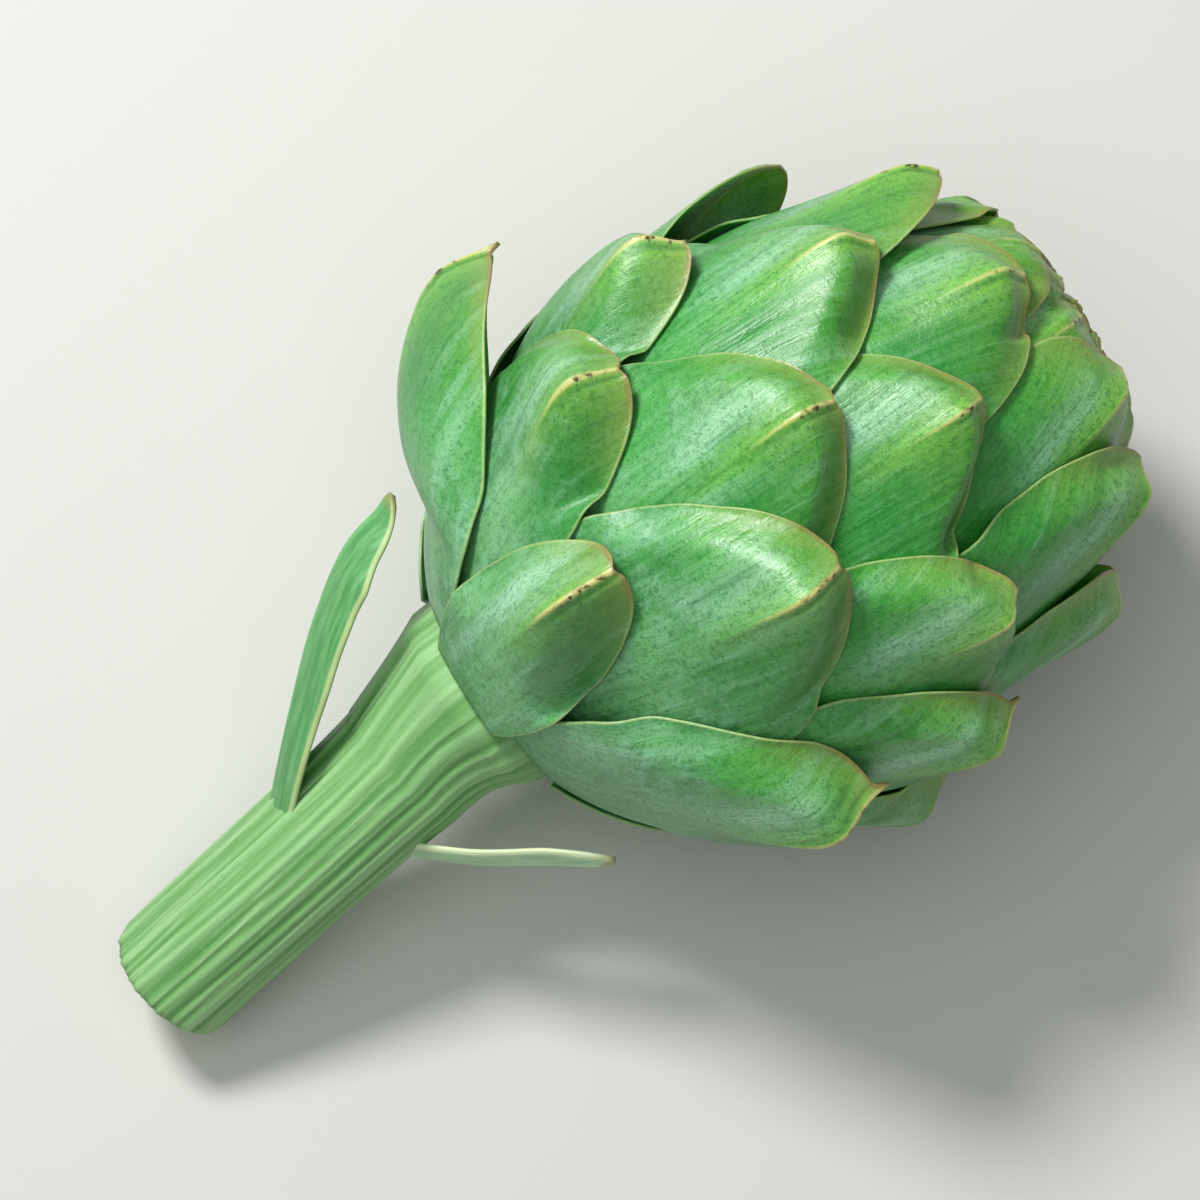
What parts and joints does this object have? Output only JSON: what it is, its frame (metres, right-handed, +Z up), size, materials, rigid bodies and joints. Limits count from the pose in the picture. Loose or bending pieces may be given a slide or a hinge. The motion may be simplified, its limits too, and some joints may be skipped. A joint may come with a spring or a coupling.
{
  "type": "globe artichoke",
  "caption": "Green globe artichoke as picked: a closed head of overlapping keeled bracts in spiral order on a short ribbed stem with small leaves, lying on its side.",
  "frame": {"origin": "middle of the footprint on the surface that the artichoke lies on", "axes": "+X from the cut stem towards the tip of the head, +Z up from the surface"},
  "size_m": [0.1651, 0.0968, 0.0946],
  "materials": {
    "bract_lower": "waxy leaf, satin, with a pale bloom and a buff keel and margin",
    "bract_upper": "waxy leaf, satin, yellower along the keel",
    "bud": "young waxy leaf, satin",
    "stem": "ribbed stem, matte, pale along the ribs",
    "stem_leaf": "thin leaf, satin",
    "stem_leaf_pale": "pale young leaf, satin"
  },
  "bodies": {
    "root": {"bract_01": "bract_lower", "bract_02": "bract_lower", "bract_03": "bract_lower", "bract_04": "bract_lower", "bract_05": "bract_lower", "bract_06": "bract_lower", "bract_07": "bract_lower", "bract_08": "bract_lower", "bract_09": "bract_lower", "bract_10": "bract_lower", "bract_11": "bract_lower", "bract_12": "bract_lower", "bract_13": "bract_lower", "bract_14": "bract_lower", "bract_15": "bract_lower", "bract_16": "bract_lower", "bract_17": "bract_lower", "bract_18": "bract_lower", "bract_19": "bract_upper", "bract_20": "bract_upper", "bract_21": "bract_upper", "bract_22": "bract_upper", "bract_23": "bract_upper", "bract_24": "bract_upper", "bract_25": "bract_upper", "bract_26": "bract_upper", "bract_27": "bract_upper", "bract_28": "bract_upper", "bract_29": "bract_upper", "bract_30": "bract_upper", "bract_31": "bract_upper", "bract_32": "bract_upper", "bract_33": "bract_upper", "bract_34": "bract_upper", "inner_bud": "bud", "stem": "stem", "stem_leaf_upper": "stem_leaf", "stem_leaf_lower": "stem_leaf_pale"}
  },
  "joints": []
}
